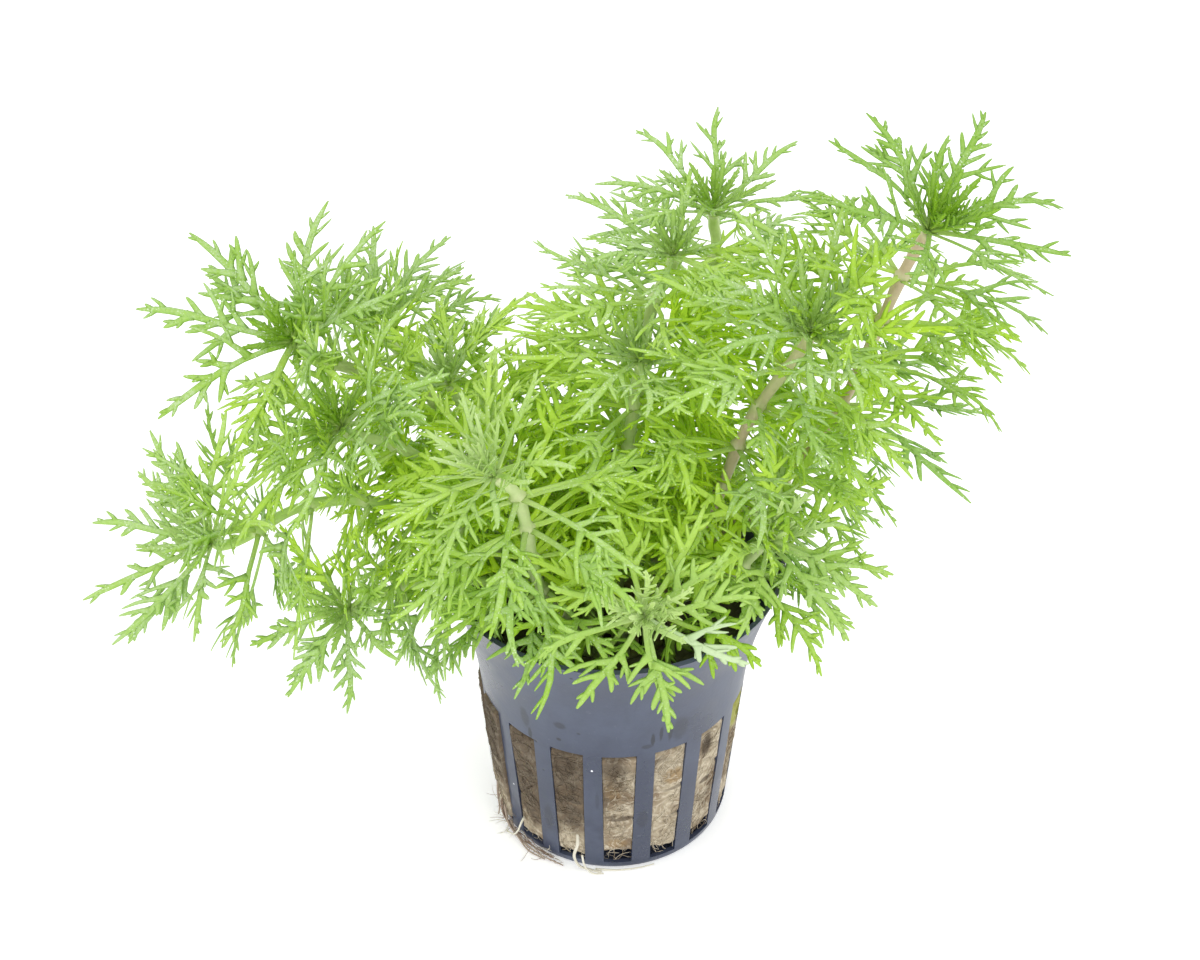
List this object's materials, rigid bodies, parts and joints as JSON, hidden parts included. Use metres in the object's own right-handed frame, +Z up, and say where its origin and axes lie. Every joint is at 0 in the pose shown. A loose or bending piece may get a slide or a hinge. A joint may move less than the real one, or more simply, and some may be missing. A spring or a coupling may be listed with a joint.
{
  "type": "aquarium plant in net pot",
  "caption": "Bunch of feathery whorled aquarium plant stems with finely divided leaves, growing from a mineral wool plug in a tapering slotted plastic net pot.",
  "frame": {"origin": "centre of the pot's flat base, on the surface that it stands on", "axes": "+Z up, +X to the right as seen from the front and along the object's longest extent, -Y towards the front"},
  "size_m": [0.1392, 0.0789, 0.1177],
  "materials": {
    "pot_plastic": "smooth, slightly shiny",
    "rockwool": "rough and fibrous",
    "stem_green": "smooth, fleshy",
    "leaf_green": "soft, thin and matte",
    "crown_green": "soft, thin and matte",
    "root_white": "matte thread"
  },
  "bodies": {
    "root": {"net_pot": "pot_plastic", "rockwool_plug": "rockwool", "stem_a": "stem_green", "stem_b": "stem_green", "stem_c": "stem_green", "stem_d": "stem_green", "stem_e": "stem_green", "stem_f": "stem_green", "stem_g": "stem_green", "stem_h": "stem_green", "stem_i": "stem_green", "stem_j": "stem_green", "stem_k": "stem_green", "stem_l": "stem_green", "stem_m": "stem_green", "stem_o": "stem_green", "crown_a": "crown_green", "crown_b": "crown_green", "crown_c": "crown_green", "crown_d": "crown_green", "crown_e": "crown_green", "crown_f": "crown_green", "crown_g": "crown_green", "crown_h": "crown_green", "crown_i": "crown_green", "crown_j": "crown_green", "crown_k": "crown_green", "crown_l": "crown_green", "crown_m": "crown_green", "crown_o": "crown_green", "whorl_a1": "leaf_green", "whorl_a2": "leaf_green", "whorl_b1": "leaf_green", "whorl_b2": "leaf_green", "whorl_c1": "leaf_green", "whorl_d1": "leaf_green", "whorl_d2": "leaf_green", "whorl_e1": "leaf_green", "whorl_f1": "leaf_green", "whorl_f2": "leaf_green", "whorl_f3": "leaf_green", "whorl_g1": "leaf_green", "whorl_g2": "leaf_green", "whorl_h1": "leaf_green", "whorl_h2": "leaf_green", "whorl_h3": "leaf_green", "whorl_h4": "leaf_green", "whorl_i1": "leaf_green", "whorl_i2": "leaf_green", "whorl_i3": "leaf_green", "whorl_j1": "leaf_green", "whorl_k1": "leaf_green", "whorl_k2": "leaf_green", "whorl_k3": "leaf_green", "whorl_l1": "leaf_green", "whorl_m1": "leaf_green", "whorl_o1": "leaf_green", "root_front": "root_white", "root_left": "root_white"}
  },
  "joints": []
}
